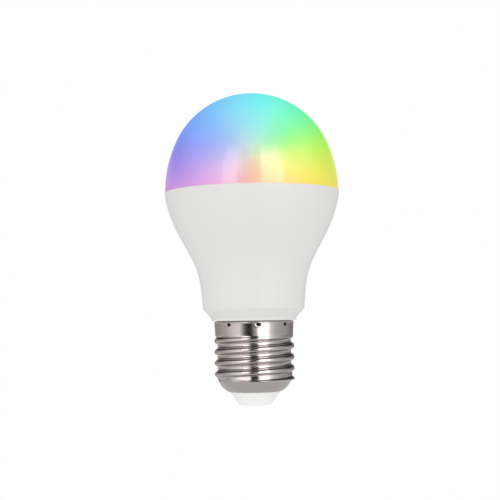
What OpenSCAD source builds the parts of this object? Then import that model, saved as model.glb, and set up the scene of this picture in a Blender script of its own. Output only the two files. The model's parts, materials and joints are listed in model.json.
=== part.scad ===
// Smart LED lamp with an E27 screw cap: colour and tunable-white light engine, mains driver and radio module.
// Millimetres. The origin is the middle of the centre contact's end face, and +Z runs up the lamp's axis.

/* [Envelope] */
// Height of the lamp from the centre contact to the top of the dome
lamp_h = 102.3; // [101.8:0.1:103]
// Height of the joint between the housing and the dome
seam_z = 69.8; // [69.6:0.05:70.1]
// Radius of the housing at that joint
seam_r = 28.7; // [28.65:0.05:28.9]
// Radius of the dome at the joint, where its wall stands upright
dome_r = 28.55; // [28.4:0.05:28.6]
// Radius of the round top of the dome
crown_r = 27.35; // [27:0.05:27.6]

/* [Housing curve] */
// Radius of the bulging upper curve
belly_r = 47; // [44:0.5:50]
// Height of the nearly straight band under the joint
rim_h = 2.15; // [1.8:0.05:2.6]
// How much the wall draws in over that band
rim_taper = 0.17; // [0.1:0.01:0.3]
// Slope of the wall under that band, in degrees from upright
belly_start = 12; // [11:0.1:13]
// Slope of the straight flank, in degrees from upright
flank_slope = 28.6; // [27:0.1:30]
// Radius of the hollow curve that runs into the neck
waist_r = 30; // [26:0.5:33]
// Radius of the neck where its straight part ends
neck_r = 16.67; // [16.5:0.01:17]
// Slope of the neck, in degrees from upright
neck_slope = 4.3; // [3.5:0.1:5]
// Height at which the neck ends and its bevel starts
neck_z = 31.4; // [31.2:0.1:31.8]
// Radius of the short upright lip under the bevel
lip_r = 14; // [13.8:0.1:14.4]
// Thickness of the plastic wall
wall = 1.4; // [1.2:0.1:1.5]
// Thickness of the aluminium lining
lining = 0.9; // [0.6:0.1:1]

/* [Screw cap, E27] */
// Outer diameter over the thread crests
thread_d = 26.15; // [26.05:0.05:26.45]
// Pitch of the thread
pitch = 3.629; // [3.62:0.001:3.64]
// Radius of the round crests and roots
thread_round = 1.025; // [1.02:0.005:1.03]
// Height of the crest that passes over the +X axis
crest_z = 19.2; // [18.8:0.1:19.6]
// Radius of the plain collar at its top
collar_r = 12.92; // [12.8:0.01:13]
// Height of the collar's top edge
collar_z = 27.4; // [27.3:0.05:27.45]
// Thickness of the sheet metal
sheet = 0.4; // [0.35:0.05:0.45]
// Number of crimp dents round the collar
crimps = 8; // [6:1:10]
// Angle of the first crimp dent, in degrees from +X
crimp_angle = 276; // [270:1:290]

/* [Light engine] */
// Radius of the LED board
board_r = 25; // [24.5:0.1:25.1]
// Thickness of the LED board
board_t = 1.2; // [1:0.1:1.6]
// Number of white LEDs, warm and cool in turn
white_leds = 12; // [8:2:14]
// Radius of the ring of white LEDs
white_ring_r = 20.8; // [20.5:0.1:21.5]
// Radius of the ring of colour LEDs
colour_ring_r = 13; // [12.5:0.1:13.5]

/* [Driver] */
// Thickness of the driver board
driver_t = 1.6; // [1.2:0.2:1.6]
// Half of the driver board's width inside the cap
driver_half = 9.3; // [8.8:0.1:9.4]
// Height of the driver board's lower edge
driver_z = 12; // [11.5:0.5:13]
// Height of the driver board's upper edge
driver_top_z = 60.5; // [60:0.5:61]

/* [Hidden] */
$fn = 48;

// Light engine levels, from the bottom up
plate_z = 64;                       // underside of the mounting plate
plate_t = 1;
paste_t = 0.2;
board_z = plate_z + plate_t + paste_t;
led_z = board_z + board_t;          // face that carries the LEDs
rim_floor_z = 66;                   // floor of the groove that takes the dome's skirt
skirt_r = 27.3;
groove_r = skirt_r + 0.05;
dome_wall = 1.3;
skirt_z = 67;

// Neck levels inside the cap
neck_tube_r = 12.2;                 // part of the neck inside the collar
cap_tube_r = 11.4;                  // part of the neck inside the thread
cap_tube_bore = 10.2;
cap_tube_z = 9.5;
housing_foot_z = 27.5;
window = [22, 13];                  // opening in the plate for the pins and the radio board
window_y = 3.2;

// Screw cap
thread_r = thread_d / 2;
root_r = thread_r - 2 * thread_round + 2 * sqrt(pow(thread_round, 2) - pow(pitch / 4, 2));
shoulder_r = 7.1;                   // round shoulder between the thread and the insulator
shoulder_mid = [5.25, 10.58];       // middle of that round
shoulder_end = 59.7;                // where it stops, in degrees below the horizontal
shoulder_fade = [10.2, 11.6];       // heights over which it draws in to the thread's root
cap_foot_z = shoulder_mid.y - shoulder_r * sin(shoulder_end);
crimp_z = 26.3;
crimp_half = [4.4, 0.6];            // half width of a dent in degrees, and half its height
crimp_depth = 0.6;
ring_z = 27;                        // foot of the rolled ring along the collar's edge
ring_rise = 0.13;
run_out = [[7.5, 8.4], [21.5, 22.9]]; // heights over which the thread fades out at each end

// Places on the driver board. Its front faces -Y and its back faces +Y.
front_y = -driver_t / 2;
back_y = driver_t / 2;
transformer_at = [-4.5, front_y - 6.2, 50];
radio_y = 6;
radio_size = [15, 0.8];
radio_z = [50.5, 75];
colour_led_angles = [25, 90, 155, 205, 270, 335];
screw_ring_r = 16.4;
screw_angles = [60, 180, 300];
screw_r = 1.15;
header_pins = 5;
header_pitch = 2.5;

// ---- curves -------------------------------------------------------------------------------------------------

function mix(a, b, t) = a + (b - a) * t;
function ease(lo, hi, x) = let (t = min(1, max(0, (x - lo) / (hi - lo)))) t * t * (3 - 2 * t);
function steps(a, b, n) = [for (i = [0 : n]) mix(a, b, i / n)];
function flip(list) = [for (i = [len(list) - 1 : -1 : 0]) list[i]];

// Housing side line as [radius, height] points from the joint down to the neck, moved inwards by inset.
belly_top_z = seam_z - rim_h;
belly_mid = [seam_r - rim_taper - belly_r * cos(belly_start), belly_top_z + belly_r * sin(belly_start)];
belly_foot = belly_mid + belly_r * [cos(flank_slope), -sin(flank_slope)];
knee_z = (neck_r - neck_z * tan(neck_slope) - belly_foot.x + belly_foot.y * tan(flank_slope))
         / (tan(flank_slope) - tan(neck_slope));
knee = [neck_r + (knee_z - neck_z) * tan(neck_slope), knee_z];
waist_run = waist_r * tan((flank_slope - neck_slope) / 2);
waist_mid = knee + waist_run * [sin(flank_slope), cos(flank_slope)]
            + waist_r * [cos(flank_slope), -sin(flank_slope)];
function belly_angle(z, inset) = asin((belly_mid.y - z) / (belly_r - inset));
function side_line(inset, top_z) = concat(
    [for (a = steps(belly_angle(top_z, inset), flank_slope, 10))
        belly_mid + (belly_r - inset) * [cos(a), -sin(a)]],
    [for (a = steps(flank_slope, neck_slope, 12)) waist_mid - (waist_r + inset) * [cos(a), -sin(a)]]);
function neck_point(inset, z) = [neck_r + (z - neck_z) * tan(neck_slope) - inset / cos(neck_slope), z];

// Outline of the dome from height z up to the pole, moved inwards by inset: a side arc, then the round top.
crown_z = lamp_h - crown_r;
side_r = (pow(crown_r, 2) - pow(dome_r, 2) - pow(crown_z - seam_z, 2)) / (2 * (crown_r - dome_r));
crown_angle = atan2(crown_z - seam_z, side_r - dome_r);
function dome_line(inset, z) = concat(
    [for (a = steps(asin((z - seam_z) / (side_r - inset)), crown_angle, 8))
        [dome_r - side_r + (side_r - inset) * cos(a), seam_z + (side_r - inset) * sin(a)]],
    [for (i = [1 : 20]) let (a = mix(crown_angle, 90, i / 20))
        [(crown_r - inset) * cos(a), crown_z + (crown_r - inset) * sin(a)]]);

// ---- small shapes -------------------------------------------------------------------------------------------

// Block centred on X and Y that stands on z = 0.
module block(size) { translate([-size.x / 2, -size.y / 2, 0]) cube(size); }

// Flat plate in the XZ plane, drawn as [x, z], that fills y to y + t.
module upright(y, t) { translate([0, y + t, 0]) rotate([90, 0, 0]) linear_extrude(t) children(); }

// Rectangle with round corners.
module round_rect(size, r) {
    square([size.x - 2 * r, size.y], center = true);
    square([size.x, size.y - 2 * r], center = true);
    for (x = [-1, 1], y = [-1, 1]) translate([x * (size.x / 2 - r), y * (size.y / 2 - r)]) circle(r);
}

// Puts a part on the back of the driver board at [x, z], with its own +Z pointing away from the board.
module on_back(x, z) { translate([x, back_y, z]) rotate([-90, 0, 0]) children(); }
module on_front(x, z) { translate([x, front_y, z]) rotate([90, 0, 0]) children(); }

// Surface-mounted chip: moulded body with a bevelled top, and rows of bent legs along both X sides.
module chip(size, legs, leg_pitch, leg_w) {
    bevel = min(0.25, size.z / 4);
    translate([0, 0, 0.1]) block([size.x, size.y, size.z - bevel - 0.1]);
    translate([0, 0, size.z - bevel]) block([size.x - 2 * bevel, size.y - 2 * bevel, bevel]);
    for (side = [-1, 1], i = [0 : legs - 1])
        translate([side * (size.x / 2), (i - (legs - 1) / 2) * leg_pitch, 0])
            scale([side, 1, 1]) leg(leg_w, size.z);
}
module leg(w, body_h) {
    translate([0, w / 2, 0]) rotate([90, 0, 0]) linear_extrude(w)
        polygon([[0, body_h / 2], [0.45, body_h / 2], [0.55, 0.2], [1, 0.2], [1, 0], [0.38, 0],
                 [0.3, body_h / 2 - 0.2], [0, body_h / 2 - 0.2]]);
}

// Tube of round section along a list of points, as one closed mesh.
function unit(v) = v / norm(v);
function along(path, i) = unit(path[min(i + 1, len(path) - 1)] - path[max(i - 1, 0)]);
function ring(p, dir, r, sides) =
    let (side = unit(cross(dir, abs(dir.y) > 0.9 ? [1, 0, 0] : [0, 1, 0])), up = cross(dir, side))
    [for (k = [0 : sides - 1]) p + r * (side * cos(360 * k / sides) + up * sin(360 * k / sides))];
module tube(path, r, sides = 8) {
    n = len(path);
    points = [for (i = [0 : n - 1]) each ring(path[i], along(path, i), r, sides)];
    sides_faces = [for (i = [0 : n - 2], k = [0 : sides - 1])
        let (a = i * sides + k, b = i * sides + (k + 1) % sides)
        each [[a, a + sides, b + sides], [a, b + sides, b]]];
    polyhedron(points, concat([[for (k = [0 : sides - 1]) k]], sides_faces,
        [[for (k = [sides - 1 : -1 : 0]) (n - 1) * sides + k]]));
}

// Points of a smooth curve through a few chosen points.
function bend(p0, p1, p2, p3, t) = 0.5 * (2 * p1 + (p2 - p0) * t + (2 * p0 - 5 * p1 + 4 * p2 - p3) * t * t
    + (3 * p1 - p0 - 3 * p2 + p3) * t * t * t);
function smooth(pts, n) = let (last = len(pts) - 1) concat([for (i = [0 : last - 1], k = [0 : n - 1])
    bend(pts[max(i - 1, 0)], pts[i], pts[i + 1], pts[min(i + 2, last)], k / n)], [pts[last]]);

// ---- optics and housing -------------------------------------------------------------------------------------

// Opal dome with a skirt that drops into the housing's groove, and four catches on the skirt.
module diffuser_dome() color("lightcyan") {
    rotate_extrude($fn = 96) polygon(concat(
        dome_line(0, seam_z), flip(dome_line(dome_wall, seam_z)),
        [[skirt_r - 1.1, seam_z - 0.4], [skirt_r - 1.1, skirt_z], [skirt_r - 0.3, skirt_z],
         [skirt_r, skirt_z + 0.4], [skirt_r, seam_z]]));
    for (a = [45 : 90 : 315]) rotate(a) translate([skirt_r - 1.15, -2, skirt_z - 0.35]) cube([0.6, 4, 0.4]);
}

// Silicone bead in the bottom of the groove, under the skirt.
module dome_sealant() color("gainsboro") rotate_extrude($fn = 96)
    polygon([[skirt_r - 0.4, rim_floor_z], [groove_r, rim_floor_z], [groove_r, skirt_z - 0.1],
             [skirt_r - 0.4, skirt_z - 0.1]]);

// Plastic shell: belly, flank, waist, neck, bevel, then the tube that the cap is crimped on.
module housing_shell() color("whitesmoke") {
    edge = 0.3;
    difference() {
        rotate_extrude($fn = 96) polygon(concat(
            [[groove_r, seam_z], [seam_r - edge, seam_z], [seam_r, seam_z - edge]],
            side_line(0, belly_top_z),
            [neck_point(0, neck_z + 0.2), neck_point(0.15, neck_z - 0.1), [lip_r + 0.1, housing_foot_z + 1.05],
             [lip_r, housing_foot_z + 0.9], [lip_r - 0.05, housing_foot_z + 0.2], [lip_r - 0.25, housing_foot_z],
             [neck_tube_r, housing_foot_z], [neck_tube_r, 23.2], [cap_tube_r, 22.5], [cap_tube_r, cap_tube_z],
             [cap_tube_bore, cap_tube_z], [cap_tube_bore, 26.4], [12.6, 29.4]],
            [neck_point(wall, 33)],
            flip(side_line(wall, rim_floor_z)),
            [[groove_r, rim_floor_z]]));
        for (i = [0 : crimps - 1]) rotate(crimp_angle + i * 360 / crimps)
            translate([neck_tube_r + 0.55, 0, crimp_z]) sphere(1);
        // Notch that leads the neutral wire to the outside of the tube
        translate([-cap_tube_r - 1, -0.6, cap_tube_z - 1]) cube([1.75, 1.2, 8]);
    }
    for (side = [-1, 1], y = [-1.75, 0.85])
        translate([side * 9.75 - 0.55, y, cap_tube_z + 2]) cube([1.1, 0.9, 14]);
}

// Aluminium lining of the housing, which carries the heat down from the plate.
module heat_sink_cup() color("silver") {
    gap = 0.05;
    rotate_extrude($fn = 96) polygon(concat(
        side_line(wall + gap, 65.9), [neck_point(wall + gap, 36.5), neck_point(wall + lining + 1.6, 36.2)],
        [neck_point(wall + lining + 1.6, 37.1)], flip(side_line(wall + gap + lining, 65.9))));
}

// Screw holes and window that the plate, the paste and the LED board share.
module board_openings(hole_r) {
    for (a = screw_angles) rotate(a) translate([screw_ring_r, 0]) circle(hole_r);
    translate([0, window_y]) round_rect(window, 1);
}

module mounting_plate() color("lightgray") translate([0, 0, plate_z]) linear_extrude(plate_t) difference() {
    circle(board_r + 0.1);
    board_openings(screw_r);
}

module thermal_paste() color("white") translate([0, 0, plate_z + plate_t])
    linear_extrude(paste_t) difference() {
    circle(board_r - 0.6);
    board_openings(2);
}

// ---- light engine -------------------------------------------------------------------------------------------

// Aluminium-core board with slots for the driver's pins and the radio board.
module led_board() color("snow") translate([0, 0, board_z]) linear_extrude(board_t) difference() {
    circle(board_r);
    for (a = screw_angles) rotate(a) translate([screw_ring_r, 0]) circle(1.45);
    translate([0, radio_y + radio_size.y / 2]) round_rect([radio_size.x + 1, radio_size.y + 1], 0.4);
    square([header_pins * header_pitch + 0.5, 1.6], center = true);
    for (a = [0 : 120 : 240]) rotate(a + 120) translate([board_r, 0]) circle(1);
}

// White LED: frame with a round well, and the phosphor that fills it.
module white_led() {
    difference() {
        block([2.8, 3.5, 0.75]);
        translate([0, 0, 0.3]) linear_extrude(1) round_rect([2.2, 2.8], 0.6);
    }
    translate([0, 0, 0.3]) linear_extrude(0.38) round_rect([2.2, 2.8], 0.6);
}
module white_ring(first) {
    step = 360 / white_leds;
    for (i = [first : 2 : white_leds - 1])
        rotate(step / 2 + i * step) translate([white_ring_r, 0, led_z]) white_led();
}
module warm_white_leds() color("khaki") white_ring(0);
module cool_white_leds() color("lemonchiffon") white_ring(1);

// Colour LED: square frame with a round well, three dies in it, and side terminals.
module rgb_led() {
    difference() {
        block([5, 5, 1.5]);
        translate([0, 0, 0.7]) cylinder(r1 = 1.8, r2 = 2.1, h = 1);
    }
    for (a = [90, 210, 330]) rotate(a) translate([0.8, 0, 0.7]) block([0.6, 0.6, 0.25]);
    for (side = [-1, 1], x = [-1.6, 0, 1.6]) translate([x, side * 2.7, 0]) block([1, 0.4, 0.6]);
}
module rgb_leds() color("ivory")
    for (a = colour_led_angles) rotate(a) translate([colour_ring_r, 0, led_z]) rgb_led();

// Two constant-current chips between the colour LEDs.
module led_current_chips() color("dimgray")
    for (x = [-5.5, 5.5]) translate([x, -7.2, led_z]) rotate(90) chip([3.9, 4.9, 1.4], 4, 1.27, 0.42);

// Pan-head screw with a cross recess.
module board_screw() {
    difference() {
        rotate_extrude() polygon([[0, 0], [2.3, 0], [2.3, 0.7], [2, 1.15], [1.3, 1.4], [0, 1.45]]);
        for (a = [0, 90]) rotate(a) translate([0, 0, 0.75]) block([2.2, 0.5, 1]);
    }
    translate([0, 0, -5]) cylinder(r = screw_r, h = 5);
    translate([0, 0, -5.8]) cylinder(r1 = 0.3, r2 = screw_r, h = 0.8);
}
module board_screws() color("slategray")
    for (a = screw_angles) rotate(a) translate([screw_ring_r, 0, led_z]) board_screw();

// One copy of a shape at each place along the pin header, moved up by z.
module along_header(z) {
    for (i = [0 : header_pins - 1]) translate([(i - (header_pins - 1) / 2) * header_pitch, 0, z]) children();
}

// Socket on the LED board that takes the driver's pins from below.
module led_board_socket() color("antiquewhite") translate([0, 0, led_z]) difference() {
    block([header_pins * header_pitch + 1, 4.2, 3.2]);
    along_header(-1) block([0.8, 0.8, 3.4]);
}

// Pins on the driver board's upper edge, in their moulded strip.
module driver_pin_header() color("goldenrod") {
    pin = [0.64, 0.64, led_z + 2 - driver_top_z];
    difference() {
        translate([0, 0, driver_top_z]) block([header_pins * header_pitch, 2.4, 2]);
        along_header(driver_top_z - 1) block(pin);
    }
    along_header(driver_top_z) block(pin);
}

// ---- driver -------------------------------------------------------------------------------------------------

module driver_board() color("darkgreen") upright(front_y, driver_t) difference() {
    polygon([[-driver_half, driver_z], [driver_half, driver_z], [driver_half, 29], [13, 33], [13, driver_top_z],
             [-13, driver_top_z], [-13, 33], [-driver_half, 29]]);
    for (x = [-11.2, 11.2]) translate([x, 57.5]) circle(0.9);
    translate([6.5, 31]) circle(0.6);
    translate([-6.5, 31]) circle(0.6);
}

// Ferrite core with a middle leg and two outer legs.
module transformer_core() color("darkslategray") translate(transformer_at) difference() {
    translate([0, 0, -6.5]) block([13.4, 5.9, 13]);
    for (side = [-1, 1]) translate([side * 3.35, 0, -4.4]) block([3.5, 7, 8.8]);
}

module transformer_bobbin() color("black") translate(transformer_at) {
    difference() {
        for (z = [-4.3, 3.7]) translate([0, 0, z]) linear_extrude(0.6) difference() {
            round_rect([9.9, 11], 0.8);
            square([3.3, 6], center = true);
        }
        for (side = [-1, 1]) translate([side * 6.7, 0, -5]) block([3.5, 6, 10]);
    }
    translate([0, 0, -4]) linear_extrude(8) difference() {
        round_rect([4.3, 7.1], 0.5);
        square([3.3, 6], center = true);
    }
    for (x = [-3.6, 0, 3.6], z = [-4, 4]) translate([x, 5.5, z]) rotate([-90, 0, 0]) cylinder(r = 0.3, h = 0.7);
}

module transformer_winding() color("peru") translate(transformer_at) translate([0, 0, -3.65])
    linear_extrude(7.3)
    difference() {
        round_rect([9.2, 10.2], 1.6);
        round_rect([4.4, 7.2], 0.5);
    }

module transformer_tape() color("gold") translate(transformer_at) translate([0, 0, -3.2]) linear_extrude(6.4)
    difference() {
        round_rect([9.7, 10.7], 1.85);
        round_rect([9.2, 10.2], 1.6);
    }

// Electrolytic capacitor can lying along Z: grooved foot at z = 0, and two leads below it that turn to +Y.
module can(r, h, reach) {
    rotate_extrude() polygon([[0, 0.3], [r - 0.9, 0.3], [r - 0.6, 0], [r - 0.25, 0], [r - 0.25, 1.1],
                              [r - 0.6, 1.5], [r - 0.25, 1.9], [r - 0.25, h - 0.5], [r - 0.7, h],
                              [r - 1.5, h], [r - 1.6, h - 0.2],
                              [0, h - 0.2]]);
    for (x = [-1.75, 1.75]) translate([x, 0, -1.5]) {
        cylinder(r = 0.3, h = 1.8);
        sphere(0.3);
        rotate([-90, 0, 0]) cylinder(r = 0.3, h = reach);
    }
}
module can_sleeve(r, h) rotate_extrude()
    polygon([[r - 0.25, 2.1], [r - 0.1, 2], [r, 2.2], [r, h - 0.4], [r - 0.5, h + 0.12], [r - 1.1, h + 0.12],
             [r - 1.1, h], [r - 0.7, h], [r - 0.25, h - 0.5]]);

input_can = [4, 12.5];              // radius and height
input_at = [0, front_y - 4.4, 14.5];
output_can = [3.9, 11.5];
output_at = [7.6, front_y - 4.3, 58.6];
module at_input() translate(input_at + [0, 0, input_can.y]) mirror([0, 0, 1]) children();
module at_output() translate(output_at) mirror([0, 0, 1]) children();
module input_capacitor() color("silver") at_input() can(input_can.x, input_can.y, 4.4);
module input_capacitor_sleeve() color("darkslateblue") at_input() can_sleeve(input_can.x, input_can.y);
module output_capacitor() color("silver") translate([0, 0, -output_can.y]) translate(output_at)
    can(output_can.x, output_can.y, 4.3);
module output_capacitor_sleeve() color("darkolivegreen") translate([0, 0, -output_can.y]) translate(output_at)
    can_sleeve(output_can.x, output_can.y);

module film_capacitor() color("firebrick") on_back(-6, 38) {
    translate([0, 0, 0.6]) linear_extrude(4.4) round_rect([8.6, 7.6], 0.9);
    for (x = [-2.5, 2.5]) translate([x, 0, 0]) cylinder(r = 0.3, h = 0.7);
}

module bridge_rectifier() color("dimgray") on_back(0, 20.5) rotate(90) chip([4, 4.8, 2.4], 2, 2.5, 0.7);

// Drum choke: ferrite bobbin with its winding.
choke_at = [-4.6, 27.5];
module choke_core() color("darkslategray") on_back(choke_at.x, choke_at.y) {
    translate([0, 0, 0.3]) rotate_extrude()
        polygon([[0, 0], [3, 0], [3, 1], [1.4, 1], [1.4, 5], [3, 5], [3, 6], [0, 6]]);
    for (x = [-1.25, 1.25]) translate([x, 0, 0]) cylinder(r = 0.3, h = 0.31);
}
module choke_winding() color("chocolate") on_back(choke_at.x, choke_at.y) translate([0, 0, 1.3])
    rotate_extrude() polygon([[1.4, 0], [2.6, 0], [2.75, 0.5], [2.75, 3.5], [2.6, 4], [1.4, 4]]);

// Fusible resistor in its sleeve, in line with the live wire.
fuse_at = [5.2, back_y + 2.4, 14.4];
module fusible_resistor() color("tan") translate(fuse_at) {
    rotate_extrude() polygon([[0, 0], [0.9, 0], [1.2, 0.3], [1.2, 1.5], [1, 1.9], [1, 4.6], [1.2, 5],
                              [1.2, 6.2], [0.9, 6.5], [0, 6.5]]);
    translate([0, 0, 6.5]) cylinder(r = 0.3, h = 1);
    translate([0, 0, 7.5]) sphere(0.3);
    translate([0, 0, 7.5]) rotate([90, 0, 0]) cylinder(r = 0.3, h = 2.4);
    translate([0, 0, -0.8]) cylinder(r = 0.3, h = 0.8);
}
module resistor_sleeve() color("ghostwhite") translate(fuse_at) rotate_extrude()
    polygon([[1.2, -0.3], [1.5, -0.3], [1.55, 0.3], [1.55, 6.3], [1.5, 6.8], [1.2, 6.8], [1.2, -0.3]]);

module switching_chip() color("dimgray") on_back(5, 39) chip([3.9, 4.9, 1.5], 4, 1.27, 0.42);
module output_diode() color("dimgray") on_back(-8.6, 47.5) rotate(90) chip([4.3, 2.6, 2.2], 1, 1, 1.5);
module voltage_regulator() color("dimgray") on_back(9.6, 47) chip([2.5, 4.5, 1.5], 3, 1.5, 0.5);

// Chip resistors and capacitors on both faces of the driver board.
module chip_resistor() block([2, 1.25, 0.55]);
chips_back = [[-1, 33.5], [1.8, 33.5], [9.5, 36], [9.5, 42], [0, 43], [-3, 43], [4.2, 44.2], [-10.4, 56],
              [-8.6, 53]];
chips_front = [[-8, 33], [-5, 33], [-2, 33], [4, 33], [7, 36], [7, 39], [-8, 38], [3, 41]];
module chip_resistors() color("gray") {
    for (p = chips_back) on_back(p.x, p.y) chip_resistor();
    for (p = chips_front) on_front(p.x, p.y) chip_resistor();
}

// ---- radio module -------------------------------------------------------------------------------------------

module radio_board() color("teal") upright(radio_y, radio_size.y)
    translate([-radio_size.x / 2, radio_z.x]) square([radio_size.x, radio_z.y - radio_z.x]);

module radio_chip() color("dimgray") translate([0, radio_y + radio_size.y, 57]) rotate([-90, 0, 0])
    block([5, 5, 0.9]);

// Pressed tin can over the radio chip, open towards its board.
module radio_shield() color("lightsteelblue") translate([0, radio_y + radio_size.y, 57.2]) rotate([-90, 0, 0])
    difference() {
        linear_extrude(2) round_rect([12.6, 11.4], 0.8);
        translate([0, 0, -1]) linear_extrude(2.8) round_rect([12.2, 11], 0.6);
    }

// Folded copper track at the top of the radio board, above the LED board.
module radio_antenna() color("gold") {
    track = 0.6;
    fold = 1.6;
    foot_z = 68.2;
    top_z = 74.2;
    upright(radio_y + radio_size.y, 0.08) {
        for (i = [0 : 6]) translate([-5.4 + i * fold, foot_z]) square([track, top_z - foot_z]);
        for (i = [0 : 5])
            translate([-5.4 + i * fold, i % 2 == 0 ? top_z - track : foot_z]) square([fold + track, track]);
        translate([-5.4, foot_z - 3]) square([track, 3.2]);
    }
}

// Strip of pins that holds the radio board on the back of the driver board.
module radio_pin_header() color("black") {
    gap = radio_y - back_y;
    difference() {
        on_back(0, 52.5) block([12.8, 2.4, gap]);
        for (i = [0 : 4]) on_back((i - 2) * 2.5, 52.5) translate([0, 0, -1]) block([0.64, 0.64, gap + 2]);
    }
    for (i = [0 : 4]) on_back((i - 2) * 2.5, 52.5) block([0.64, 0.64, gap]);
}

// ---- wires --------------------------------------------------------------------------------------------------

live_route = [[5.2, 3.2, 13.3], [5, 3, 12], [4, 2, 10.9], [2.7, 0.9, 10.4], [1.8, 0.2, 9.7], [1.5, 0, 8.6]];
module live_wire() color("saddlebrown") {
    tube(smooth(live_route, 3), 0.65);
    tube([[1.5, 0, 4.2], [1.5, 0, 9]], 0.28);
}

neutral_route = [[-6.5, front_y - 0.9, 15], [-6.5, front_y - 1, 13.4], [-6.7, -1.5, 11.4], [-7.4, -0.9, 9.6],
                 [-8.6, -0.3, 8.9], [-9.4, 0, 8.7]];
neutral_end = [[-9.4, 0, 8.7], [-10.4, 0, 8.6], [-11, 0, 9], [-11.15, 0, 9.8], [-11.15, 0, 12],
               [-11.15, 0, 15.5]];
module neutral_wire() color("steelblue") {
    tube(smooth(neutral_route, 3), 0.65);
    tube(smooth(neutral_end, 2), 0.3);
}

// ---- screw cap ----------------------------------------------------------------------------------------------

// Thread height above the root at height z and angle a, from 0 to the full depth: round crests meet
// round roots.
thread_depth = thread_r - root_r;
function thread_lift(z, a) =
    let (turn = (z - crest_z) / pitch - a / 360, s = abs(turn - round(turn)) * pitch)
    s < pitch / 4 ? thread_depth - thread_round + sqrt(pow(thread_round, 2) - s * s)
                  : thread_round - sqrt(pow(thread_round, 2) - pow(pitch / 2 - s, 2));
function thread_share(z) = ease(run_out[0][0], run_out[0][1], z) * (1 - ease(run_out[1][0], run_out[1][1], z));
function collar_at(z) = collar_r - 0.05 * (26 - z);
function plain_r(z) = z > ring_z - 0.05 ? collar_r + ring_rise
    : z > run_out[1][0] ? mix(root_r, collar_at(z), ease(run_out[1][0], run_out[1][1], z))
    : mix(shoulder_mid.x + sqrt(pow(shoulder_r, 2) - pow(max(0, shoulder_mid.y - z), 2)), root_r,
          ease(shoulder_fade[0], shoulder_fade[1], z));
crimp_sector = 360 / crimps;
function crimp_offset(a) =
    let (turn = (a - crimp_angle) / crimp_sector) abs(turn - round(turn)) * crimp_sector;
function crimp_lift(z, a) = crimp_depth * max(0, 1 - abs(z - crimp_z) / crimp_half.y)
    * max(0, 1 - crimp_offset(a) / crimp_half.x);
// The thread stands out of the shoulder's round only where it is the higher of the two.
function sunk(z) = z < shoulder_fade[1] ? max(0, plain_r(z) - root_r) : 0;
function shell_r(z, a) = plain_r(z) + thread_share(z) * max(0, thread_lift(z, a) - sunk(z)) - crimp_lift(z, a);
shoulder_rows = steps(shoulder_end, 34, 4);
wall_rows = concat([for (z = [7.3 : pitch / 8 : 23]) z], [23.6, crimp_z - crimp_half.y, crimp_z,
    crimp_z + crimp_half.y, ring_z, collar_z]);
shell_angles = [for (i = [0 : crimps - 1], a = [-crimp_half.x, 0, crimp_half.x, 0.36 * crimp_sector,
    0.64 * crimp_sector]) crimp_angle + i * crimp_sector + a];
shell_columns = len(shell_angles);

// One ring of the shell's skin, as points round the axis; inset is 0 outside and sheet inside.
function shoulder_ring(row, inset) = [for (k = [0 : shell_columns - 1]) let (a = shell_angles[k],
    r = shoulder_mid.x + (shoulder_r - inset * 0.9) * cos(row)) [r * cos(a), r * sin(a),
    shoulder_mid.y - (shoulder_r - inset * 0.9) * sin(row)]];
function wall_ring(z, inset) = [for (k = [0 : shell_columns - 1]) let (a = shell_angles[k],
    r = shell_r(z, a) - inset) [r * cos(a), r * sin(a), z]];
function skin(inset) = concat([for (row = shoulder_rows) each shoulder_ring(row, inset)],
    [for (z = wall_rows) each wall_ring(z, inset)]);

// Pressed shell of constant wall, from its hole for the insulator up to the collar's edge.
module screw_shell() color("silver") {
    n = shell_columns;
    rows = len(shoulder_rows) + len(wall_rows);
    inner = rows * n;
    outer_faces = [for (i = [0 : rows - 2], k = [0 : n - 1])
        let (a = i * n + k, b = i * n + (k + 1) % n) each [[a, a + n, b + n], [a, b + n, b]]];
    inner_faces = [for (f = outer_faces) [f[0] + inner, f[2] + inner, f[1] + inner]];
    foot = [for (k = [0 : n - 1]) let (a = k, b = (k + 1) % n)
        each [[a, b, b + inner], [a, b + inner, a + inner]]];
    top = [for (k = [0 : n - 1]) let (a = inner - n + k, b = inner - n + (k + 1) % n)
        each [[a, b + inner, b], [a, a + inner, b + inner]]];
    polyhedron(concat(skin(0), skin(sheet)), concat(outer_faces, inner_faces, foot, top));
}

// White cone that closes the cap: flange inside the shell, boss in the middle for the contact.
module base_insulator() color("white") {
    fit = shoulder_r - sheet - 0.2;
    rotate_extrude() polygon(concat(
        [[3.5, 0.1], [5.15, 0.1], [5.3, 0.25], [8.25, cap_foot_z - 0.1], [8.25, cap_foot_z + 0.3]],
        [for (r = steps(8.4, 10.2, 6)) [r, shoulder_mid.y - sqrt(fit * fit - pow(r - shoulder_mid.x, 2))]],
        [[10.2, 8], [8.6, 8], [6.4, 5.2], [5.6, 2.6], [3.7, 2.6], [3.7, 8.2], [1.85, 8.2], [1.85, 0.85],
         [3.5, 0.85]]));
}

// Contact nail: broad flat head in the cone's end, shank beside the live wire.
module centre_contact() color("lightgray") rotate_extrude()
    polygon([[0, 0], [2.9, 0], [3.3, 0.2], [3.45, 0.5], [3.45, 0.85], [1.2, 0.85], [1.2, 6.8], [0.4, 7.6],
             [0, 7.6]]);

// ---- drawing ------------------------------------------------------------------------------------------------

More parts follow.
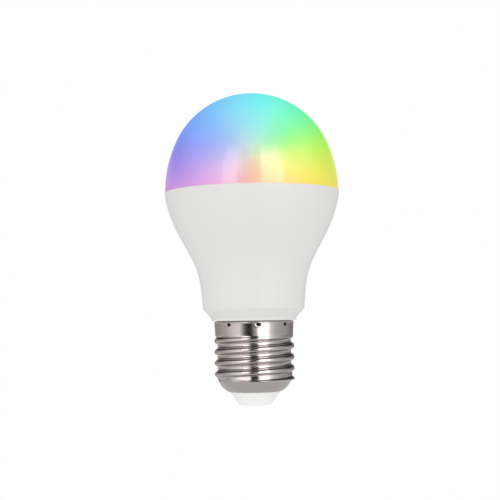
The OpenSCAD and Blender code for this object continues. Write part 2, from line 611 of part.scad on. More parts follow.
diffuser_dome();
dome_sealant();
housing_shell();
heat_sink_cup();
mounting_plate();
thermal_paste();
led_board();
warm_white_leds();
cool_white_leds();
rgb_leds();
led_current_chips();
board_screws();
led_board_socket();
driver_pin_header();
driver_board();
transformer_core();
transformer_bobbin();
transformer_winding();
transformer_tape();
input_capacitor();
input_capacitor_sleeve();
output_capacitor();
output_capacitor_sleeve();
film_capacitor();
bridge_rectifier();
choke_core();
choke_winding();
fusible_resistor();
resistor_sleeve();
switching_chip();
output_diode();
voltage_regulator();
chip_resistors();
radio_board();
radio_shield();
radio_chip();
radio_antenna();
radio_pin_header();
live_wire();
neutral_wire();
screw_shell();
base_insulator();
centre_contact();
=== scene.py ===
import json
import math

import bmesh
import bpy
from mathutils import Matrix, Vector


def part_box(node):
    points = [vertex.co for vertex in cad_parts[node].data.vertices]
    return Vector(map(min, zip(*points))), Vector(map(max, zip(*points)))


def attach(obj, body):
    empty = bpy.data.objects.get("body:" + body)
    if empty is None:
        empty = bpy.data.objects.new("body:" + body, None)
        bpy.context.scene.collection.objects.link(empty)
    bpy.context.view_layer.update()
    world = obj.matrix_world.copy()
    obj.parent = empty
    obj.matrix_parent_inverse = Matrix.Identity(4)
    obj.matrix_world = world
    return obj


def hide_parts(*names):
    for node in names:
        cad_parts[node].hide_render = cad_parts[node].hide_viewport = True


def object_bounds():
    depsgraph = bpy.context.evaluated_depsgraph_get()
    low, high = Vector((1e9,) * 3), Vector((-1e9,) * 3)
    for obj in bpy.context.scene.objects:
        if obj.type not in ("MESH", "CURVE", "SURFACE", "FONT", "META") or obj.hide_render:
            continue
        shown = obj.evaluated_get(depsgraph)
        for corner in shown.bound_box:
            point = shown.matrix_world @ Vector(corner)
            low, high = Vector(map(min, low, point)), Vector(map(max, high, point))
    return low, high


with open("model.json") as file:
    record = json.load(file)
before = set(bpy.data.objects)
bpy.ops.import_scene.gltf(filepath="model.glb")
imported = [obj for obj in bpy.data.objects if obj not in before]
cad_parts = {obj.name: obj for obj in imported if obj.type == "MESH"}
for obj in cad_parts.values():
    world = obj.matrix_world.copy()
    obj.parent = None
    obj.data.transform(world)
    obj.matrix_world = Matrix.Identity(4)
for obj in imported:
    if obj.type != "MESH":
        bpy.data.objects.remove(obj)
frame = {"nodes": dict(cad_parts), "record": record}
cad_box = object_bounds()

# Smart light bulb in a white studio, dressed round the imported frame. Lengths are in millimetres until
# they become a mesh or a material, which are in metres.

MM = 0.001
NODES = frame["nodes"]
LAMP_TOP = cad_box[1][2] / MM

# ---- sizes of the visible pieces, in millimetres -------------------------------------------------

SEGMENTS = 256

CROWN_R = 27.35
DOME_R = 28.55
DOME_WALL = 1.3
SEAM_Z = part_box("housing_shell")[1][2] / MM
SEAM_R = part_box("housing_shell")[1][0] / MM
SKIRT_R = 27.3
SKIRT_Z = 67.0

RIM_H = 2.15
RIM_TAPER = 0.17
BELLY_R = 47.0
BELLY_START = 12.0
FLANK_SLOPE = 28.6
WAIST_R = 30.0
NECK_R = 16.67
NECK_SLOPE = 4.3
NECK_Z = 31.4
LIP_R = 14.0
FOOT_Z = 27.5
WALL = 1.4
RIM_EDGE = 0.32  # radius of the rounded edge at the joint
GROOVE_R = SKIRT_R + 0.05
GROOVE_Z = 66.0
NECK_TUBE_R = 11.9  # part of the neck inside the collar
CAP_TUBE_R = 11.4  # part of the neck inside the thread
CAP_TUBE_BORE = 10.2
CAP_TUBE_Z = 9.5

PITCH = 3.629
THREAD_R = 26.15 / 2
THREAD_ROUND = 1.025
CREST_Z = 19.2
ROOT_R = THREAD_R - 2 * THREAD_ROUND + 2 * math.sqrt(THREAD_ROUND**2 - (PITCH / 4) ** 2)
SHOULDER_R = 7.1
SHOULDER_MID = (5.25, 10.58)
SHOULDER_END = 59.7
SHOULDER_FADE = (10.2, 11.6)
THREAD_BLEND = 0.1
COLLAR_R = 12.92  # at COLLAR_MID_Z
COLLAR_MID_Z = 26.0
COLLAR_TAPER = 0.05
COLLAR_Z = 27.4
SHEET = 0.4
CRIMPS = 8
CRIMP_ANGLE = 276.0
RING_Z = 26.93
RING_HALF = 0.2
RING_RISE = 0.16
CURL_Z = 27.02
CURL_IN = 0.4
CRIMP_Z = 26.3
CRIMP_HALF = (4.4, 0.6)  # degrees, millimetres
CRIMP_DEPTH = 0.6
CRIMP_SWELL = 0.06
FADE_LOW = (7.5, 8.4)
FADE_HIGH = (21.5, 22.9)


# ---- small maths ---------------------------------------------------------------------------------


def mix(a, b, t):
    return a + (b - a) * t


def ease(low, high, x):
    t = min(1.0, max(0.0, (x - low) / (high - low)))
    return t * t * (3 - 2 * t)


def steps(a, b, n):
    return [mix(a, b, i / n) for i in range(n + 1)]


def arc(centre, radius, start, end, n):
    """Points on an arc in the (r, z) plane, angles in degrees from +r towards +z."""
    angles = [math.radians(a) for a in steps(start, end, n)]
    return [(centre[0] + radius * math.cos(a), centre[1] + radius * math.sin(a)) for a in angles]


def linear(r, g, b):
    """Scene-linear colour of an 8-bit display colour."""
    values = [c / 255 for c in (r, g, b)]
    return tuple(c / 12.92 if c <= 0.04045 else ((c + 0.055) / 1.055) ** 2.4 for c in values) + (1.0,)


def finish_mesh(name, vertices, faces, sharp=35.0):
    mesh = bpy.data.meshes.new(name)
    mesh.from_pydata([tuple(c * MM for c in v) for v in vertices], [], faces)
    mesh.validate()
    bm = bmesh.new()
    bm.from_mesh(mesh)
    bmesh.ops.remove_doubles(bm, verts=bm.verts, dist=1e-7)
    bmesh.ops.recalc_face_normals(bm, faces=bm.faces)
    bm.to_mesh(mesh)
    bm.free()
    mesh.shade_smooth()
    mesh.set_sharp_from_angle(angle=math.radians(sharp))
    piece = bpy.data.objects.new(name, mesh)
    bpy.context.scene.collection.objects.link(piece)
    return piece


def lathe(name, outline, segments=SEGMENTS, sharp=35.0):
    """Closed outline of (r, z) points turned about the lamp's axis. Points on the axis become poles."""
    vertices, rings = [], []
    for r, z in outline:
        if r < 1e-6:
            rings.append([len(vertices)] * segments)
            vertices.append((0, 0, z))
            continue
        rings.append(list(range(len(vertices), len(vertices) + segments)))
        vertices += [
            (r * math.cos(2 * math.pi * k / segments), r * math.sin(2 * math.pi * k / segments), z)
            for k in range(segments)
        ]
    faces = []
    for i, ring in enumerate(rings):
        above = rings[(i + 1) % len(rings)]
        for k in range(segments):
            corners = [ring[k], ring[(k + 1) % segments], above[(k + 1) % segments], above[k]]
            unique = list(dict.fromkeys(corners))
            if len(unique) > 2:
                faces.append(unique)
    return finish_mesh(name, vertices, faces, sharp)


# ---- outlines ------------------------------------------------------------------------------------

CROWN_Z = LAMP_TOP - CROWN_R
SIDE_R = (CROWN_R**2 - DOME_R**2 - (CROWN_Z - SEAM_Z) ** 2) / (2 * (CROWN_R - DOME_R))
CROWN_ANGLE = math.degrees(math.atan2(CROWN_Z - SEAM_Z, SIDE_R - DOME_R))


def dome_line(inset):
    side = arc((DOME_R - SIDE_R, SEAM_Z), SIDE_R - inset, 0, CROWN_ANGLE, 24)
    crown = arc((0, CROWN_Z), CROWN_R - inset, CROWN_ANGLE, 90, 64)
    return side + crown[1:-1] + [(0, LAMP_TOP - inset)]


def belly_middle():
    start = math.radians(BELLY_START)
    top_z = SEAM_Z - RIM_H
    return (SEAM_R - RIM_TAPER - BELLY_R * math.cos(start), top_z + BELLY_R * math.sin(start))


def waist_middle():
    flank, neck = math.radians(FLANK_SLOPE), math.radians(NECK_SLOPE)
    middle = belly_middle()
    foot = (middle[0] + BELLY_R * math.cos(flank), middle[1] - BELLY_R * math.sin(flank))
    knee_z = (NECK_R - NECK_Z * math.tan(neck) - foot[0] + foot[1] * math.tan(flank)) / (
        math.tan(flank) - math.tan(neck)
    )
    knee = (NECK_R + (knee_z - NECK_Z) * math.tan(neck), knee_z)
    run = WAIST_R * math.tan((flank - neck) / 2)
    return (
        knee[0] + run * math.sin(flank) + WAIST_R * math.cos(flank),
        knee[1] + run * math.cos(flank) - WAIST_R * math.sin(flank),
    )


def neck_point(inset, z):
    return (NECK_R + (z - NECK_Z) * math.tan(math.radians(NECK_SLOPE)) - inset, z)


def side_line(inset, top_z):
    """Belly, flank and waist, from the top down."""
    middle = belly_middle()
    start = math.degrees(math.asin((middle[1] - top_z) / (BELLY_R - inset)))
    belly = arc(middle, BELLY_R - inset, -start, -FLANK_SLOPE, 40)
    waist = arc(waist_middle(), WAIST_R + inset, 180 - FLANK_SLOPE, 180 - NECK_SLOPE, 40)
    return belly + waist


# ---- pieces --------------------------------------------------------------------------------------


def make_dome():
    inside = dome_line(DOME_WALL)
    skirt = [
        (SKIRT_R - 1.1, SEAM_Z - 0.4),
        (SKIRT_R - 1.1, SKIRT_Z),
        (SKIRT_R - 0.3, SKIRT_Z),
        (SKIRT_R, SKIRT_Z + 0.4),
        (SKIRT_R, SEAM_Z),
        (DOME_R - 0.05, SEAM_Z),
    ]
    return lathe("dome_visual", dome_line(0) + inside[::-1] + skirt)


def make_housing():
    rim = arc((SEAM_R - RIM_EDGE, SEAM_Z - RIM_EDGE), RIM_EDGE, 90, 0, 6)
    foot = [
        neck_point(0, NECK_Z + 0.35),
        neck_point(0.03, NECK_Z + 0.12),
        neck_point(0.11, NECK_Z - 0.06),
        neck_point(0.24, NECK_Z - 0.22),
        (LIP_R + 0.28, FOOT_Z + 1.22),
        (LIP_R + 0.1, FOOT_Z + 1.03),
        (LIP_R + 0.02, FOOT_Z + 0.88),
        (LIP_R, FOOT_Z + 0.7),
        (LIP_R - 0.03, FOOT_Z + 0.25),
        (LIP_R - 0.1, FOOT_Z + 0.08),
        (LIP_R - 0.25, FOOT_Z),
        (NECK_TUBE_R, FOOT_Z),
        (NECK_TUBE_R, 23.2),
        (CAP_TUBE_R, 22.5),
        (CAP_TUBE_R, CAP_TUBE_Z),
        (CAP_TUBE_BORE, CAP_TUBE_Z),
        (CAP_TUBE_BORE, 26.4),
        (12.6, 29.4),
    ]
    inside = [neck_point(WALL, 33)] + side_line(WALL, GROOVE_Z)[::-1]
    groove = [(GROOVE_R, GROOVE_Z), (GROOVE_R, SEAM_Z)]
    return lathe("housing_visual", rim + side_line(0, SEAM_Z - RIM_H) + foot + inside + groove, sharp=50)


def thread_lift(z, degrees):
    turn = (z - CREST_Z) / PITCH - degrees / 360
    s = abs(turn - round(turn)) * PITCH
    depth = THREAD_R - ROOT_R
    if s < PITCH / 4:
        return depth - THREAD_ROUND + math.sqrt(THREAD_ROUND**2 - s * s)
    return THREAD_ROUND - math.sqrt(THREAD_ROUND**2 - (PITCH / 2 - s) ** 2)


def thread_share(z):
    return ease(*FADE_LOW, z) * (1 - ease(*FADE_HIGH, z))


def plain_r(z):
    """Radius of the shell without thread or dents: shoulder, barrel, collar, ring and curled edge."""
    if z > FADE_HIGH[0]:
        collar = COLLAR_R - COLLAR_TAPER * (COLLAR_MID_Z - z)
        r = mix(ROOT_R, collar, ease(*FADE_HIGH, z))
        ring = RING_RISE * math.sqrt(max(0.0, 1 - ((z - RING_Z) / RING_HALF) ** 2))
        curl = CURL_IN * max(0.0, (z - CURL_Z) / (COLLAR_Z - CURL_Z)) ** 2
        return r + ring - curl
    fall = max(0.0, SHOULDER_MID[1] - z)
    shoulder = SHOULDER_MID[0] + math.sqrt(SHOULDER_R**2 - fall**2)
    return mix(shoulder, ROOT_R, ease(*SHOULDER_FADE, z))


def dent(z, degrees):
    """A crimp: a pocket with steep walls, and a soft raised edge under it."""
    sector = 360 / CRIMPS
    turn = (degrees - CRIMP_ANGLE) / sector
    u = (turn - round(turn)) * sector / CRIMP_HALF[0]
    v = (z - CRIMP_Z) / CRIMP_HALF[1]
    distance = math.hypot(u, v)
    pit = CRIMP_DEPTH * (1 - ease(-0.6, 1.0, distance)) * (1 - ease(0.85, 1.0, distance)) / 0.7
    swell = CRIMP_SWELL * math.exp(-(((distance - 1.2) / 0.22) ** 2)) * ease(0.2, -0.7, v)
    return swell - pit


def shell_r(z, degrees):
    """The thread stands out of the shoulder's round only where it is the higher of the two."""
    base = plain_r(z)
    above = thread_lift(z, degrees)
    if z < SHOULDER_FADE[1]:
        above -= max(0.0, base - ROOT_R)
        if abs(above) < THREAD_BLEND:
            above = (above + THREAD_BLEND) ** 2 / (4 * THREAD_BLEND)
    return base + thread_share(z) * max(0.0, above) + dent(z, degrees)


def make_screw_shell():
    columns = 360
    angles = [360 * k / columns for k in range(columns)]
    shoulder = [math.radians(a) for a in steps(SHOULDER_END, 34, 12)]
    rows = steps(7.0, 23.0, 150) + steps(23.1, 25.0, 8) + steps(25.05, COLLAR_Z, 48)

    def skin(inset):
        rings = []
        for a in shoulder:
            r = SHOULDER_MID[0] + (SHOULDER_R - inset) * math.cos(a)
            rings.append([(r, SHOULDER_MID[1] - (SHOULDER_R - inset) * math.sin(a))] * columns)
        for z in rows:
            rings.append([(shell_r(z, a) - inset, z) for a in angles])
        return rings

    outer, inner = skin(0.0), skin(SHEET)
    loop = outer + inner[::-1]
    vertices = [
        (r * math.cos(math.radians(a)), r * math.sin(math.radians(a)), z)
        for ring in loop
        for (r, z), a in zip(ring, angles)
    ]
    faces = []
    for i in range(len(loop)):
        low, high = i * columns, ((i + 1) % len(loop)) * columns
        for k in range(columns):
            n = (k + 1) % columns
            faces.append((low + k, low + n, high + n, high + k))
    return finish_mesh("screw_shell_visual", vertices, faces, sharp=60)


def make_insulator():
    top_z = SHOULDER_MID[1] - SHOULDER_R * math.sin(math.radians(SHOULDER_END))
    foot, brow = (5.3, 0.25), (8.25, top_z - 0.1)
    rings, ring_depth = 5, 0.09
    cone = []
    for t in steps(0, 1, 60):
        ridge = ring_depth * math.sin(math.pi * t * (2 * rings)) ** 8
        cone.append((mix(foot[0], brow[0], t) - ridge, mix(foot[1], brow[1], t)))
    fit = SHOULDER_R - SHEET - 0.2
    seat = [
        (r, SHOULDER_MID[1] - math.sqrt(fit**2 - (r - SHOULDER_MID[0]) ** 2)) for r in steps(8.4, 10.2, 10)
    ]
    hollow = [(10.2, 8), (8.6, 8), (6.4, 5.2), (5.6, 2.6)]
    boss = [(3.7, 2.6), (3.7, 8.2), (1.85, 8.2), (1.85, 0.85), (3.5, 0.85)]
    outline = [(3.55, 0.1), (5.1, 0.1), (5.22, 0.14)] + cone + [(8.25, top_z + 0.3)] + seat + hollow + boss
    return lathe("insulator_visual", outline, segments=192, sharp=40)


def make_contact():
    face = [(0, 0.06), (0.9, 0.05), (1.2, 0.02), (1.5, 0.0), (2.6, 0.0)]
    brim = [(3.0, 0.05), (3.25, 0.18), (3.4, 0.45), (3.45, 0.85)]
    shank = [(1.2, 0.85), (1.2, 6.8), (0.4, 7.6), (0, 7.6)]
    return lathe("contact_visual", face + brim + shank, segments=128)


# ---- materials -----------------------------------------------------------------------------------


class Graph:
    """A few words for wiring a node tree."""

    def __init__(self, tree):
        self.tree = tree

    def add(self, kind, **settings):
        node = self.tree.nodes.new(kind)
        for key, value in settings.items():
            setattr(node, key, value)
        return node

    def link(self, source, target):
        self.tree.links.new(source, target)

    def fill(self, socket, value):
        if isinstance(value, (int, float, tuple)):
            socket.default_value = value
        elif value is not None:
            self.link(value, socket)

    def math(self, operation, a, b=None):
        node = self.add("ShaderNodeMath", operation=operation)
        self.fill(node.inputs[0], a)
        self.fill(node.inputs[1], b)
        return node.outputs[0]

    def split(self, vector):
        node = self.add("ShaderNodeSeparateXYZ")
        self.link(vector, node.inputs[0])
        return node.outputs

    def between(self, value, low, high, start=0.0, end=1.0, kind="LINEAR"):
        """value, from start to end, spread between low and high."""
        node = self.add("ShaderNodeMapRange", interpolation_type=kind)
        for key, number in (("From Min", start), ("From Max", end), ("To Min", low), ("To Max", high)):
            node.inputs[key].default_value = number
        self.link(value, node.inputs["Value"])
        return node.outputs["Result"]

    def ramp(self, factor, stops):
        """Colours by position from 0 to 1; a stop's value is a colour or a grey level."""
        node = self.add("ShaderNodeValToRGB")
        elements = node.color_ramp.elements
        for i, (position, value) in enumerate(stops):
            stop = elements[i] if i < 2 else elements.new(position)
            stop.position = position
            stop.color = value if isinstance(value, tuple) else (value, value, value, 1)
        self.link(factor, node.inputs[0])
        return node.outputs[0]

    def blend(self, factor, a, b, kind="RGBA"):
        node = self.add("ShaderNodeMix", data_type=kind)
        ending = {"RGBA": "Color", "FLOAT": "Float"}[kind]
        sockets = {s.identifier: s for s in node.inputs}
        for key, value in (("Factor_Float", factor), ("A_" + ending, a), ("B_" + ending, b)):
            self.fill(sockets[key], value)
        return next(s for s in node.outputs if s.identifier == "Result_" + ending)


class Surface(Graph):
    """A material round one Principled shader."""

    def __init__(self, name):
        self.material = bpy.data.materials.new(name)
        self.material.use_nodes = True
        super().__init__(self.material.node_tree)
        self.shader = self.tree.nodes["Principled BSDF"]

    def set(self, **values):
        for key, value in values.items():
            self.fill(self.shader.inputs[key.replace("_", " ")], value)

    def place(self):
        return self.add("ShaderNodeTexCoord").outputs["Object"]

    def noise(self, scale, detail=3.0, roughness=0.5):
        node = self.add("ShaderNodeTexNoise")
        node.inputs["Scale"].default_value = scale
        node.inputs["Detail"].default_value = detail
        node.inputs["Roughness"].default_value = roughness
        self.link(self.place(), node.inputs["Vector"])
        return node.outputs["Fac"]

    def bump(self, height, distance, strength=1.0):
        node = self.add("ShaderNodeBump")
        node.inputs["Distance"].default_value = distance
        node.inputs["Strength"].default_value = strength
        self.link(height, node.inputs["Height"])
        self.set(Normal=node.outputs[0])


# Hues round the dome, by angle in degrees from the lamp's right, as seen from its front
DOME_HUES = [
    (0, (205, 242, 94)),
    (15, (160, 248, 114)),
    (30, (122, 248, 156)),
    (45, (110, 246, 190)),
    (62, (110, 244, 218)),
    (80, (102, 234, 238)),
    (100, (114, 218, 244)),
    (120, (118, 199, 246)),
    (140, (116, 176, 247)),
    (158, (124, 160, 247)),
    (172, (138, 146, 238)),
    (188, (166, 140, 230)),
    (205, (204, 146, 222)),
    (225, (228, 152, 206)),
    (245, (240, 158, 184)),
    (262, (248, 158, 154)),
    (280, (250, 168, 126)),
    (300, (252, 188, 112)),
    (322, (254, 211, 102)),
    (340, (243, 232, 88)),
    (360, (205, 242, 94)),
]
DOME_MIDDLE = (-0.3 * MM, 82.0 * MM)
DOME_BOW = 0.127  # how far the middle sinks towards the front and the back, per unit of depth
DOME_PALE = linear(220, 218, 196)
DOME_REACH = 30 * MM
PALE_SHARE = [(0.0, 0.86), (0.1, 0.68), (0.18, 0.46), (0.33, 0.25), (0.53, 0.09), (0.75, 0.0)]
# Glow of the dome by distance from its middle, with painted rim shade: it dims towards the rim
GLOW_WITH_RIM_SHADE = [(0.0, 1.0), (0.55, 1.0), (0.75, 0.89), (1.0, 0.72)]


def dome_material():
    m = Surface("opal_dome")
    x, y, z = m.split(m.place())
    dx = m.math("SUBTRACT", x, DOME_MIDDLE[0])
    bow = m.math("MULTIPLY", m.math("ABSOLUTE", y), DOME_BOW)
    dz = m.math("ADD", m.math("SUBTRACT", z, DOME_MIDDLE[1]), bow)
    turn = m.math("FRACT", m.math("DIVIDE", m.math("ARCTAN2", dz, dx), 2 * math.pi))
    hue = m.ramp(turn, [(degrees / 360, linear(*colour)) for degrees, colour in DOME_HUES])
    reach = m.math("SQRT", m.math("ADD", m.math("MULTIPLY", dx, dx), m.math("MULTIPLY", dz, dz)))
    far = m.math("DIVIDE", reach, DOME_REACH)
    colour = m.blend(m.ramp(far, PALE_SHARE), hue, DOME_PALE)
    # Emission colour with painted rim shade, dimmer towards the rim
    shaded_glow = m.add("ShaderNodeVectorMath", operation="MULTIPLY")
    m.link(colour, shaded_glow.inputs[0])
    m.link(m.ramp(far, GLOW_WITH_RIM_SHADE), shaded_glow.inputs[1])
    m.set(Emission_Color=shaded_glow.outputs[0], Base_Color=m.blend(0.9, colour, (0.0, 0.0, 0.0, 1.0)))
    m.set(Emission_Strength=1.0, Roughness=0.12, IOR=1.6)
    m.bump(m.noise(900, 2.0), 0.00002, 0.15)
    return m.material


def housing_material():
    m = Surface("white_housing")
    m.set(Base_Color=m.blend(m.noise(45, 4.0), linear(229, 229, 227), linear(232, 232, 230)))
    m.set(Roughness=m.between(m.noise(160, 3.0), 0.42, 0.5), IOR=1.46)
    m.bump(m.noise(2600, 3.0, 0.6), 0.00004, 0.35)
    return m.material


# Painted shade: grey levels that darken the nickel along the thread's flanks and inside the crimps
FLANK_SHADE = [(0.0, 1.0), (0.14, 0.98), (0.19, 0.62), (0.23, 0.62), (0.29, 0.98), (0.5, 1.0), (1.0, 1.0)]
CRIMP_SHADE = [(0.0, 0.03), (0.3, 0.03), (0.48, 0.9), (0.6, 1.0), (1.0, 1.0)]


def painted_shade(m):
    """Painted shade in the thread's flanks and in the crimps, as a grey level."""
    x, y, z = m.split(m.place())
    turn = m.math("DIVIDE", m.math("ARCTAN2", y, x), 2 * math.pi)
    rise = m.math("DIVIDE", m.math("SUBTRACT", z, CREST_Z * MM), PITCH * MM)
    crest = m.math("PINGPONG", m.math("SUBTRACT", rise, turn), 0.5)
    level = m.between(z, 0.0, 1.0, FADE_LOW[0] * MM, FADE_HIGH[1] * MM)
    threaded = m.ramp(level, [(0.0, 0.0), (0.06, 1.0), (0.93, 1.0), (1.0, 0.0)])
    flank = m.blend(threaded, (1.0, 1.0, 1.0, 1.0), m.ramp(crest, FLANK_SHADE))
    sector = m.math("MULTIPLY", m.math("SUBTRACT", turn, CRIMP_ANGLE / 360), CRIMPS)
    aside = m.math("MULTIPLY", m.math("PINGPONG", sector, 0.5), 360 / CRIMPS / CRIMP_HALF[0])
    above = m.math("DIVIDE", m.math("SUBTRACT", z, CRIMP_Z * MM), CRIMP_HALF[1] * MM)
    near = m.math("ADD", m.math("MULTIPLY", aside, aside), m.math("MULTIPLY", above, above))
    pocket = m.ramp(m.math("DIVIDE", m.math("SQRT", near), 2.0), CRIMP_SHADE)
    both = m.add("ShaderNodeVectorMath", operation="MULTIPLY")
    m.link(flank, both.inputs[0])
    m.link(pocket, both.inputs[1])
    return both.outputs[0]


def nickel_material(name, tint, rough, with_painted_shade=False):
    m = Surface(name)
    wear = m.noise(70, 5.0, 0.6)
    colour = m.blend(wear, linear(*tint), linear(*(c * 0.95 for c in tint)))
    # The painted shade of the flanks and crimps darkens the nickel's colour
    if with_painted_shade:
        shaded_colour = m.add("ShaderNodeVectorMath", operation="MULTIPLY")
        m.link(colour, shaded_colour.inputs[0])
        m.link(painted_shade(m), shaded_colour.inputs[1])
        colour = shaded_colour.outputs[0]
    drawn = m.add("ShaderNodeMapping")
    drawn.inputs["Scale"].default_value = (180, 180, 4200)
    m.link(m.place(), drawn.inputs["Vector"])
    lines = m.add("ShaderNodeTexNoise")
    lines.inputs["Scale"].default_value = 1.0
    lines.inputs["Detail"].default_value = 3.0
    m.link(drawn.outputs[0], lines.inputs["Vector"])
    gloss = m.between(lines.outputs["Fac"], rough - 0.04, rough + 0.06)
    m.set(Base_Color=colour, Metallic=1.0, Roughness=gloss)
    m.bump(lines.outputs["Fac"], 0.00002, 0.12)
    return m.material


def moulded(name, colour, rough=0.45, grain=700, depth=0.00002, spread=0.06, **more):
    """Moulded, coated or sintered surface: two close tones, uneven gloss and a fine grain."""
    m = Surface(name)
    darker = tuple(c * (1 - spread) for c in colour[:3]) + (1.0,)
    m.set(Base_Color=m.blend(m.noise(grain * 0.25, 4.0), colour, darker), **more)
    m.set(Roughness=m.between(m.noise(grain, 3.0), rough - 0.06, rough + 0.08))
    m.bump(m.noise(grain * 3, 2.0), depth, 0.3)
    return m.material


def wound(name, colour, turns_per_mm=2.2):
    """Enamelled wire lying in turns round the part's own Z."""
    m = Surface(name)
    wave = m.add("ShaderNodeTexWave", wave_type="BANDS", bands_direction="Z")
    wave.inputs["Scale"].default_value = turns_per_mm / MM / 20
    wave.inputs["Distortion"].default_value = 0.4
    m.link(m.place(), wave.inputs["Vector"])
    dark = tuple(c * 0.45 for c in colour[:3]) + (1.0,)
    m.set(Base_Color=m.blend(wave.outputs["Fac"], dark, colour))
    m.set(Roughness=m.between(m.noise(300), 0.22, 0.38))
    m.set(Metallic=0.7, Coat_Weight=0.6, Coat_Roughness=0.1)
    m.bump(wave.outputs["Fac"], 0.0001, 0.8)
    return m.material


def board(name, colour, track):
    """Circuit board mask, with tracks that show through it as a slightly lighter net."""
    m = Surface(name)
    cells = m.add("ShaderNodeTexVoronoi", feature="DISTANCE_TO_EDGE", distance="MANHATTAN")
    cells.inputs["Scale"].default_value = 420
    cells.inputs["Randomness"].default_value = 0.55
    m.link(m.place(), cells.inputs["Vector"])
    edge = m.between(cells.outputs["Distance"], 0.0, 1.0, 0.06, 0.1)
    m.set(Base_Color=m.blend(edge, track, colour), Roughness=m.between(m.noise(500), 0.25, 0.4))
    m.bump(edge, 0.00003, 0.4)
    return m.material


def metal(name, colour, rough=0.3, grain=400):
    """Sheet metal or plating: fine grain in gloss and tone."""
    return moulded(name, colour, rough, grain, 0.00001, 0.08, Metallic=1.0)


def inner_materials():
    """Record slot to material, for the CAD nodes that stay."""
    return {
        "silicone": moulded("silicone_bead", linear(226, 226, 224), 0.35, 500, 0.00003),
        "aluminium": metal("lining_aluminium", linear(200, 201, 203), 0.34),
        "thermal_compound": moulded("thermal_paste_grey", linear(214, 214, 212), 0.6, 900, 0.00006),
        "white_board": board("white_mask", linear(240, 240, 236), linear(228, 229, 224)),
        "warm_phosphor": moulded("warm_phosphor", linear(246, 205, 112), 0.3, 800, Subsurface_Weight=0.1),
        "cool_phosphor": moulded("cool_phosphor", linear(246, 232, 140), 0.3, 800, Subsurface_Weight=0.1),
        "led_frame": moulded("led_frame_white", linear(240, 240, 236), 0.3, 900),
        "chip_black": moulded("chip_epoxy", linear(38, 38, 40), 0.5, 1200, 0.00003, 0.2),
        "screw_steel": metal("zinc_steel", linear(196, 197, 202), 0.28, 600),
        "connector_cream": moulded("connector_nylon", linear(238, 232, 208), 0.4),
        "pin_brass": metal("plated_pins", linear(222, 190, 120), 0.2, 900),
        "green_board": board("green_mask", linear(16, 84, 44), linear(40, 122, 66)),
        "ferrite": moulded("ferrite_black", linear(52, 52, 55), 0.55, 1500, 0.00005, 0.25),
        "black_plastic": moulded("bobbin_black", linear(30, 30, 31), 0.4, 900),
        "copper": wound("enamelled_copper", linear(196, 112, 66)),
        "yellow_tape": moulded("polyester_tape", linear(238, 206, 70), 0.25, 260, 0.00004),
        "can_aluminium": metal("capacitor_can", linear(208, 209, 211), 0.22),
        "blue_sleeve": moulded("blue_sleeve", linear(30, 44, 108), 0.28, 300),
        "green_sleeve": moulded("green_sleeve", linear(28, 88, 58), 0.28, 300),
        "red_epoxy": moulded("red_epoxy", linear(170, 40, 30), 0.25, 200, 0.00008),
        "tan_ceramic": moulded("resistor_coat", linear(204, 176, 138), 0.5, 700, 0.00004),
        "white_sleeve": moulded("silicone_sleeve", linear(238, 238, 234), 0.55, 1300),
        "chip_grey": moulded("chip_ceramic", linear(86, 84, 82), 0.5, 1500, 0.00003, 0.3),
        "blue_board": board("blue_mask", linear(18, 56, 116), linear(44, 92, 152)),
        "tin": metal("shield_tin", linear(206, 208, 212), 0.26),
        "gold_track": metal("gilded_track", linear(226, 190, 110), 0.25, 900),
        "brown_insulation": moulded("brown_insulation", linear(112, 70, 46), 0.4),
        "blue_insulation": moulded("blue_insulation", linear(62, 110, 182), 0.4),
    }


def dress(piece, material, node):
    piece.data.materials.clear()
    piece.data.materials.append(material)
    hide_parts(node)
    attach(piece, "root")


# ---- studio --------------------------------------------------------------------------------------

# What the gloss reflects, by azimuth from the camera side (minus is to the viewer's left): level with
# the lamp, and at a slant above or below, where two softboxes stand either side of the camera
LEVEL = [
    (-180, 0.3),
    (-130, 0.42),
    (-93, 0.64),
    (-66, 0.96),
    (-43, 1.15),
    (-36, 0.64),
    (-28, 0.14),
    (-21, 0.02),
    (-8, 0.02),
    (-2, 0.35),
    (7, 0.6),
    (12, 2.1),
    (40, 2.1),
    (50, 1.0),
    (70, 0.62),
    (102, 0.52),
    (136, 0.28),
    (180, 0.3),
]
SLANT = [
    (-180, 0.06),
    (-125, 0.06),
    (-95, 0.5),
    (-64, 1.1),
    (-48, 1.7),
    (-16, 1.9),
    (-11, 0.03),
    (10, 0.03),
    (15, 1.5),
    (24, 2.1),
    (46, 1.9),
    (60, 1.0),
    (85, 0.6),
    (115, 0.06),
    (180, 0.06),
]
CARD_PEAK = 2.1
SLANT_FROM = (9, 20)  # elevations, in degrees, where the level cards give way to the softboxes
CEILING, CEILING_FROM = 0.05, (24, 52)
GROUND, GROUND_FROM = 0.66, (28, 38)
# How much higher the ground reaches behind the lamp, and from which azimuths on
GROUND_RISE, GROUND_SIDES = 22, (80, 115)
# The softboxes' bright windows: azimuth from, azimuth to, elevation from, elevation to, brightness
WINDOWS = [(14, 43, 4, 38, 4.0), (-39, -20, 4, 38, 3.0)]
WINDOW_EDGE = (1.5, 7.0)  # how softly a window ends sideways and upwards, in degrees
# What the matt surfaces gather: from the front, from behind, from straight below
FRONT, BACK, BELOW = 1.04, 0.78, 0.92


FLOOR_Z = -0.05
CAMERA_AT = (-0.9, -390.0, 29.3)
CAMERA_PITCH = 3.14
CAMERA_ROLL = -0.95
FOCAL = 85.4


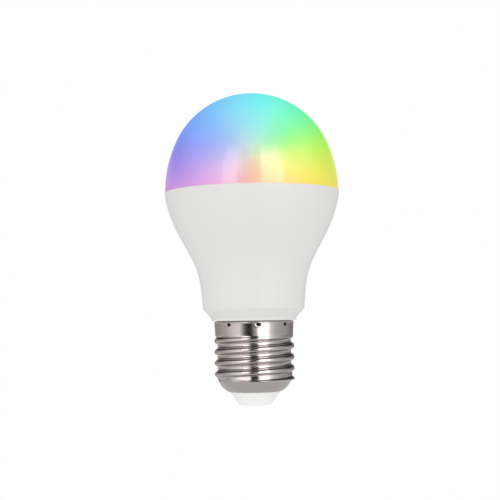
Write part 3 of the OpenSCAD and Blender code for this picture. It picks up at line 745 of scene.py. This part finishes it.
def make_world():
    world = bpy.data.worlds.new("studio")
    bpy.context.scene.world = world
    world.use_nodes = True
    # Each ray finds the light by itself, so gloss and matt surfaces meet the studio meant for them
    world.cycles.sampling_method = "NONE"
    g = Graph(world.node_tree)
    background = g.tree.nodes["Background"]
    x, y, z = g.split(g.add("ShaderNodeTexCoord").outputs["Generated"])
    azimuth = g.math("MULTIPLY", g.math("ARCTAN2", x, g.math("MULTIPLY", y, -1.0)), 180 / math.pi)
    height = g.math("MULTIPLY", g.math("ARCSINE", z), 180 / math.pi)

    around = g.between(azimuth, 0.0, 1.0, -180, 180)
    steep = g.math("ABSOLUTE", height)

    def cards(levels):
        stops = [(a / 360 + 0.5, v / CARD_PEAK) for a, v in levels]
        return g.math("MULTIPLY", g.ramp(around, stops), CARD_PEAK)

    room = g.blend(g.between(steep, 0.0, 1.0, *SLANT_FROM, "SMOOTHSTEP"), cards(LEVEL), cards(SLANT), "FLOAT")
    room = g.blend(g.between(height, 0.0, 1.0, *CEILING_FROM, "SMOOTHSTEP"), room, CEILING, "FLOAT")
    behind = g.between(g.math("ABSOLUTE", azimuth), 0.0, GROUND_RISE, *GROUND_SIDES, "SMOOTHSTEP")
    low = g.math("SUBTRACT", behind, height)
    room = g.blend(g.between(low, 0.0, 1.0, *GROUND_FROM, "SMOOTHSTEP"), room, GROUND, "FLOAT")

    def window(value, start, end, edge):
        rise = g.between(value, 0.0, 1.0, start - edge, start + edge, "SMOOTHSTEP")
        fall = g.between(value, 1.0, 0.0, end - edge, end + edge, "SMOOTHSTEP")
        return g.math("MULTIPLY", rise, fall)

    for left, right, foot, top, level in WINDOWS:
        across = window(azimuth, left, right, WINDOW_EDGE[0])
        share = g.math("MULTIPLY", across, window(height, foot, top, WINDOW_EDGE[1]))
        room = g.blend(share, room, level, "FLOAT")
    depth = g.between(y, FRONT, BACK, -1.0, 1.0)
    matt = g.math("MULTIPLY", depth, g.between(z, BELOW, 1.0, -1.0, 0.0))
    path = g.add("ShaderNodeLightPath").outputs
    light = g.blend(path["Is Diffuse Ray"], room, matt, "FLOAT")
    g.link(g.blend(path["Is Camera Ray"], light, 1.0, "FLOAT"), background.inputs["Strength"])
    background.inputs["Color"].default_value = (1, 1, 1, 1)


def make_floor():
    """A plain white floor, lit evenly enough to shine back as pure white."""
    half, corner = 6.0, (-1, 1)
    mesh = bpy.data.meshes.new("floor")
    mesh.from_pydata([(x * half, y * half, 0) for y in corner for x in corner], [], [(0, 1, 3, 2)])
    floor = bpy.data.objects.new("floor", mesh)
    floor.location.z = FLOOR_Z * MM
    floor.visible_diffuse = floor.visible_glossy = floor.visible_shadow = False
    bpy.context.scene.collection.objects.link(floor)
    m = Surface("floor_white")
    m.set(Base_Color=(0.0, 0.0, 0.0, 1.0), Emission_Color=(1.0, 1.0, 1.0, 1.0), Emission_Strength=1.0)
    m.set(Specular_IOR_Level=0.0)
    mesh.materials.append(m.material)


def make_camera():
    data = bpy.data.cameras.new("camera")
    data.lens = FOCAL
    data.sensor_width = 36
    data.clip_start = 0.01
    data.clip_end = 50
    camera = bpy.data.objects.new("camera", data)
    camera.location = [c * MM for c in CAMERA_AT]
    camera.rotation_mode = "XYZ"
    camera.rotation_euler = (math.radians(90 + CAMERA_PITCH), 0, 0)
    camera.rotation_euler.rotate_axis("Z", math.radians(CAMERA_ROLL))
    bpy.context.scene.collection.objects.link(camera)
    bpy.context.scene.camera = camera


# ---- assembly ------------------------------------------------------------------------------------

make_camera()
make_world()
make_floor()
bpy.context.scene.view_settings.view_transform = "Standard"

# The cap's nickel carries painted shade in its thread flanks and crimps
nickel = nickel_material("nickel_cap", (202, 193, 190), 0.12, with_painted_shade=True)
dress(make_dome(), dome_material(), "diffuser_dome")
dress(make_housing(), housing_material(), "housing_shell")
dress(make_screw_shell(), nickel, "screw_shell")
insulator_white = moulded("insulator_white", linear(250, 250, 249), 0.38, 600, spread=0.02)
dress(make_insulator(), insulator_white, "base_insulator")
nickel_contact = nickel_material("nickel_contact", (198, 189, 185), 0.22)
dress(make_contact(), nickel_contact, "centre_contact")

finishes = inner_materials()
for part in frame["record"]["subparts"]:
    node = NODES[part["node"]]
    if part["material_slot"] in finishes:
        for slot in node.material_slots:
            slot.material = finishes[part["material_slot"]]
